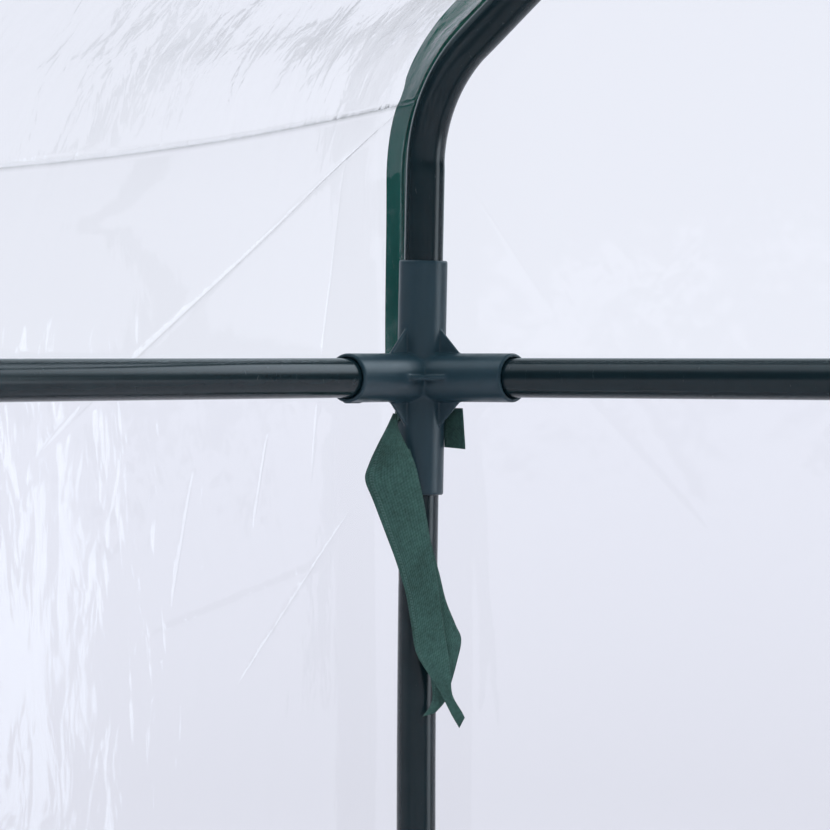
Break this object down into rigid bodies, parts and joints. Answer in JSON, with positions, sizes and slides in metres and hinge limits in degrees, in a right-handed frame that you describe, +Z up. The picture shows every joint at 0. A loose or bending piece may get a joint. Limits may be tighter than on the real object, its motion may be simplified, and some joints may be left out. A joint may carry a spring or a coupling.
{
  "type": "mini greenhouse",
  "caption": "Small free-standing greenhouse: push-fit steel tube frame in moulded corner connectors under a clear film cover with bound seams, tie straps and a zipped door flap.",
  "frame": {"origin": "centre of the base footprint, on the ground under the four corner feet", "axes": "+X along the ridge, +Y towards the back long wall, -Y out of the zipped door, +Z up"},
  "size_m": [1.0208, 0.535, 0.7678],
  "materials": {
    "steel_tube": "dark green-black gloss powder coat",
    "connector": "matte moulded blue-green grey",
    "clear_film": "clear glossy PVC film",
    "binding": "glossy green vinyl binding tape",
    "tie_tape": "woven polyester tape",
    "zip_chain": "white nylon coil zip",
    "zip_metal": "white enamelled die casting"
  },
  "bodies": {
    "frame": {"base_rail_front": "steel_tube", "base_rail_back": "steel_tube", "base_rail_left": "steel_tube", "base_rail_right": "steel_tube", "post_front_left": "steel_tube", "post_front_right": "steel_tube", "post_back_left": "steel_tube", "post_back_right": "steel_tube", "eave_rail_front": "steel_tube", "eave_rail_back": "steel_tube", "eave_rail_left": "steel_tube", "eave_rail_right": "steel_tube", "roof_tube_front_left": "steel_tube", "roof_tube_front_right": "steel_tube", "roof_tube_back_left": "steel_tube", "roof_tube_back_right": "steel_tube", "ridge_rail": "steel_tube", "base_corner_front_left": "connector", "base_corner_front_right": "connector", "base_corner_back_left": "connector", "base_corner_back_right": "connector", "eave_corner_front_left": "connector", "eave_corner_front_right": "connector", "eave_corner_back_left": "connector", "eave_corner_back_right": "connector", "ridge_tee_left": "connector", "ridge_tee_right": "connector", "gable_panel_left": "clear_film", "gable_panel_right": "clear_film", "back_wall_panel": "clear_film", "roof_panel_back": "clear_film", "roof_panel_front": "clear_film", "front_top_panel": "clear_film", "front_panel_left": "clear_film", "front_panel_right": "clear_film", "binding_left": "binding", "binding_right": "binding", "hem_binding": "binding", "zip_track_left": "zip_chain", "zip_track_right": "zip_chain", "tie_front_left": "tie_tape", "tie_front_right": "tie_tape", "tie_back_left": "tie_tape", "tie_back_right": "tie_tape", "door_tie_inner_left": "tie_tape", "door_tie_inner_right": "tie_tape"},
    "door": {"door_panel": "clear_film", "door_hem": "binding", "door_zip_left": "zip_chain", "door_zip_right": "zip_chain", "door_tie_outer_left": "tie_tape", "door_tie_outer_right": "tie_tape"},
    "slider_left": {"zip_slider_left": "zip_metal"},
    "slider_right": {"zip_slider_right": "zip_metal"},
    "pull_left": {"zip_pull_left": "zip_metal"},
    "pull_right": {"zip_pull_right": "zip_metal"}
  },
  "joints": [
    {"name": "door_lift", "type": "hinge", "parent": "frame", "child": "door", "pos_m": [0, -0.26, 0.428], "axis": [-1, 0, 0], "range_deg": [0, 170]},
    {"name": "zip_left_slide", "type": "slide", "parent": "frame", "child": "slider_left", "axis": [0, 0, 1], "range_m": [0, 0.378]},
    {"name": "zip_right_slide", "type": "slide", "parent": "frame", "child": "slider_right", "axis": [0, 0, 1], "range_m": [0, 0.378]},
    {"name": "zip_left_pull_swing", "type": "hinge", "parent": "slider_left", "child": "pull_left", "pos_m": [-0.3825, -0.2621, 0.044], "axis": [-1, 0, 0], "range_deg": [0, 120]},
    {"name": "zip_right_pull_swing", "type": "hinge", "parent": "slider_right", "child": "pull_right", "pos_m": [0.3825, -0.2621, 0.044], "axis": [-1, 0, 0], "range_deg": [0, 120]}
  ]
}
